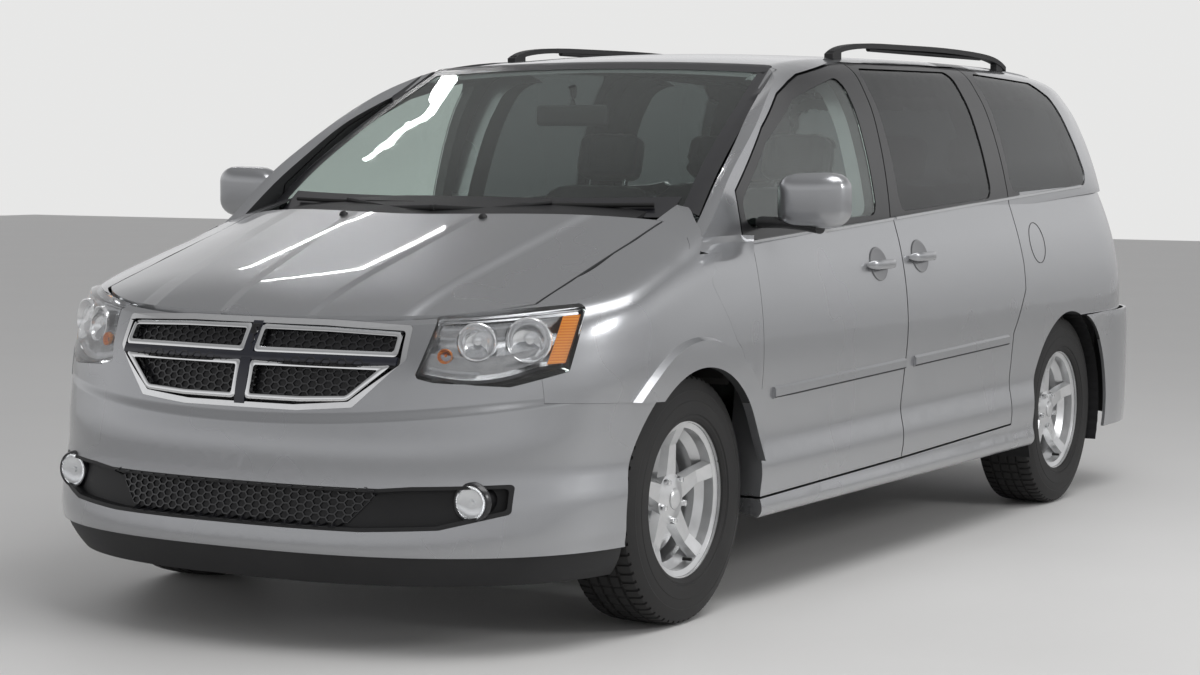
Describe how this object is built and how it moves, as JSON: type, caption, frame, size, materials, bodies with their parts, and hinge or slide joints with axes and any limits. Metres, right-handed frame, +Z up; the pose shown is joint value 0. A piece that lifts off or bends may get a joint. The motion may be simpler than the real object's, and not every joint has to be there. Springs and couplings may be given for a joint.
{
  "type": "minivan",
  "caption": "Long-nosed seven-place minivan with opening hood, front doors and liftgate, steered front wheels and turning rear wheels.",
  "frame": {"origin": "on the ground under the middle of the vehicle's length and width", "axes": "+X forward, +Y to the vehicle's left, +Z up"},
  "size_m": [5.1547, 2.3578, 1.7469],
  "materials": {
    "tyre": "matt",
    "wheel": "satin",
    "paint": "gloss",
    "structure": "satin",
    "steel": "rough",
    "exhaust": "satin",
    "chrome": "polished",
    "black_plastic": "textured",
    "lamp_clear": "clear",
    "lamp_red": "gloss",
    "glass_clear": "tinted",
    "glass_dark": "dark tint",
    "seat": "woven",
    "trim": "grained",
    "rail": "satin"
  },
  "bodies": {
    "body": {"underbody": "structure", "front_subframe": "structure", "rear_axle": "structure", "exhaust": "exhaust", "engine": "steel", "front_bumper": "paint", "chin": "black_plastic", "grille_frame": "chrome", "grille_insert": "black_plastic", "lower_grille": "black_plastic", "headlamps": "lamp_clear", "cowl": "black_plastic", "windshield": "glass_clear", "roof": "paint", "roof_rails": "rail", "side_glass": "glass_dark", "tail_lamps": "lamp_red", "rear_bumper": "paint", "front_seats": "seat", "rear_seats": "seat", "dashboard": "trim", "steering_wheel": "trim", "fenders": "paint", "sliding_doors": "paint", "body_side_left": "paint", "body_side_right": "paint"},
    "hood": {"hood": "paint"},
    "liftgate": {"liftgate": "paint", "liftgate_glass": "glass_dark"},
    "front_door_left": {"front_door_left": "paint", "front_door_glass_left": "glass_clear", "mirror_left": "paint"},
    "knuckle_left": {"knuckle_left": "steel"},
    "wheel_front_left": {"tyre_front_left": "tyre", "wheel_front_left": "wheel"},
    "wheel_rear_left": {"tyre_rear_left": "tyre", "wheel_rear_left": "wheel"},
    "front_door_right": {"front_door_right": "paint", "front_door_glass_right": "glass_clear", "mirror_right": "paint"},
    "knuckle_right": {"knuckle_right": "steel"},
    "wheel_front_right": {"tyre_front_right": "tyre", "wheel_front_right": "wheel"},
    "wheel_rear_right": {"tyre_rear_right": "tyre", "wheel_rear_right": "wheel"}
  },
  "joints": [
    {"name": "steering_left", "type": "hinge", "parent": "body", "child": "knuckle_left", "pos_m": [1.6155, 0.68, 0.362], "axis": [0, 0, 1], "range_deg": [-32, 32]},
    {"name": "spin_front_left", "type": "hinge", "parent": "knuckle_left", "child": "wheel_front_left", "pos_m": [1.6155, 0.825, 0.362], "axis": [0, 1, 0], "continuous": true},
    {"name": "spin_rear_left", "type": "hinge", "parent": "body", "child": "wheel_rear_left", "pos_m": [-1.4625, 0.825, 0.362], "axis": [0, 1, 0], "continuous": true},
    {"name": "door_left", "type": "hinge", "parent": "body", "child": "front_door_left", "pos_m": [1.1175, 0.935, 0.75], "axis": [0, 0, -1], "range_deg": [0, 65]},
    {"name": "steering_right", "type": "hinge", "parent": "body", "child": "knuckle_right", "pos_m": [1.6155, -0.68, 0.362], "axis": [0, 0, 1], "range_deg": [-32, 32]},
    {"name": "spin_front_right", "type": "hinge", "parent": "knuckle_right", "child": "wheel_front_right", "pos_m": [1.6155, -0.825, 0.362], "axis": [0, 1, 0], "continuous": true},
    {"name": "spin_rear_right", "type": "hinge", "parent": "body", "child": "wheel_rear_right", "pos_m": [-1.4625, -0.825, 0.362], "axis": [0, 1, 0], "continuous": true},
    {"name": "door_right", "type": "hinge", "parent": "body", "child": "front_door_right", "pos_m": [1.1175, -0.935, 0.75], "axis": [0, 0, 1], "range_deg": [0, 65]},
    {"name": "hood_hinge", "type": "hinge", "parent": "body", "child": "hood", "pos_m": [1.4155, 0, 1.158], "axis": [0, -1, 0], "range_deg": [0, 55]},
    {"name": "liftgate_hinge", "type": "hinge", "parent": "body", "child": "liftgate", "pos_m": [-2.184, 0, 1.672], "axis": [0, 1, 0], "range_deg": [0, 80]}
  ],
  "couplings": [
    {"joint": "steering_right", "follows": "steering_left", "ratio": 1}
  ]
}
